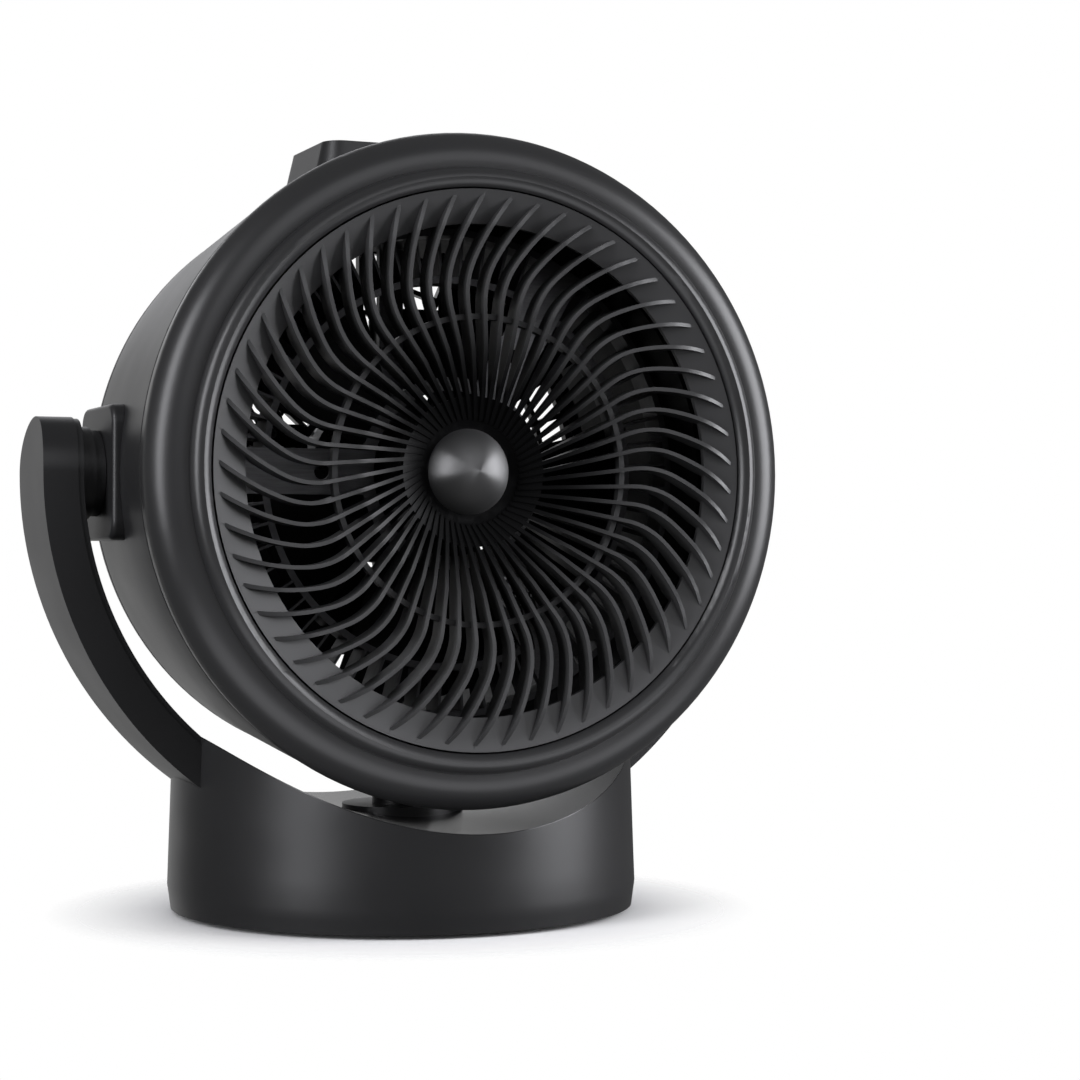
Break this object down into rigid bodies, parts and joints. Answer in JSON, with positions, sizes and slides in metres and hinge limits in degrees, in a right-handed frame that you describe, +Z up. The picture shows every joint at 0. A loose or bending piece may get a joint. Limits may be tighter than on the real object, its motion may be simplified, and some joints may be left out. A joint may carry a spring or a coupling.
{
  "type": "fan heater",
  "caption": "Round fan heater in a yoke stand: drum head with swept-rib grille, tilting in two arms on a dished round base that swings on a foot plate.",
  "frame": {"origin": "on the floor under the swing axle, at the bottom centre of the whole object", "axes": "+Z up, the grille faces -Y, +X to the right of someone facing the grille from the front"},
  "size_m": [0.349, 0.218, 0.354],
  "materials": {
    "shell_black": "fine satin moulding",
    "strip_black": "fine satin moulding",
    "bezel_black": "polished moulding",
    "grille_black": "fine satin moulding",
    "dome_gloss": "polished",
    "panel_gloss": "polished",
    "duct_dark": "plain moulding",
    "heater_fins": "plain sheet",
    "frame_steel": "plain sheet",
    "motor_paint": "dark paint",
    "fan_plastic": "plain moulding",
    "shaft_steel": "ground",
    "lens_tint": "tinted",
    "pad_rubber": "plain",
    "key_grey": "satin"
  },
  "bodies": {
    "foot": {"foot_plate": "shell_black", "foot_pad_1": "pad_rubber", "foot_pad_2": "pad_rubber", "foot_pad_3": "pad_rubber", "foot_pad_4": "pad_rubber"},
    "base": {"base_shell": "shell_black", "cord_gland": "pad_rubber", "axle_cap": "shell_black", "yoke_arm_left": "shell_black", "yoke_arm_right": "shell_black", "yoke_strip_left": "strip_black", "yoke_strip_right": "strip_black", "pivot_boss_left": "shell_black", "pivot_boss_right": "shell_black"},
    "head": {"drum_shell": "shell_black", "bezel_ring": "bezel_black", "side_pad_left": "shell_black", "side_pad_right": "shell_black", "air_duct": "duct_dark", "front_grille": "grille_black", "grille_dome": "dome_gloss", "heater_ring": "heater_fins", "heater_frame": "frame_steel", "motor_can": "motor_paint", "motor_bracket": "frame_steel", "rear_cover": "shell_black", "rear_grille": "grille_black", "control_box": "shell_black", "control_panel": "panel_gloss", "indicator_lens": "lens_tint"},
    "fan": {"fan_rotor": "fan_plastic", "fan_shaft": "shaft_steel", "spinner_nut": "fan_plastic"},
    "key_1": {"key_1": "key_grey"},
    "key_2": {"key_2": "key_grey"},
    "key_3": {"key_3": "key_grey"},
    "key_4": {"key_4": "key_grey"},
    "key_5": {"key_5": "key_grey"}
  },
  "joints": [
    {"name": "base_swing", "type": "hinge", "parent": "foot", "child": "base", "pos_m": [0, 0, 0], "axis": [0, 0, 1], "range_deg": [-35, 35]},
    {"name": "head_tilt", "type": "hinge", "parent": "base", "child": "head", "pos_m": [0, 0, 0.201], "axis": [-1, 0, 0], "range_deg": [-4, 50]},
    {"name": "fan_spin", "type": "hinge", "parent": "head", "child": "fan", "pos_m": [0, 0, 0.201], "axis": [0, 1, 0], "continuous": true},
    {"name": "key_1_press", "type": "slide", "parent": "head", "child": "key_1", "axis": [0, 0, -1], "range_m": [0, 0.0013], "stiffness_N_per_m": 600},
    {"name": "key_2_press", "type": "slide", "parent": "head", "child": "key_2", "axis": [0, 0, -1], "range_m": [0, 0.0013], "stiffness_N_per_m": 600},
    {"name": "key_3_press", "type": "slide", "parent": "head", "child": "key_3", "axis": [0, 0, -1], "range_m": [0, 0.0013], "stiffness_N_per_m": 600},
    {"name": "key_4_press", "type": "slide", "parent": "head", "child": "key_4", "axis": [0, 0, -1], "range_m": [0, 0.0013], "stiffness_N_per_m": 600},
    {"name": "key_5_press", "type": "slide", "parent": "head", "child": "key_5", "axis": [0, 0, -1], "range_m": [0, 0.0013], "stiffness_N_per_m": 600}
  ]
}
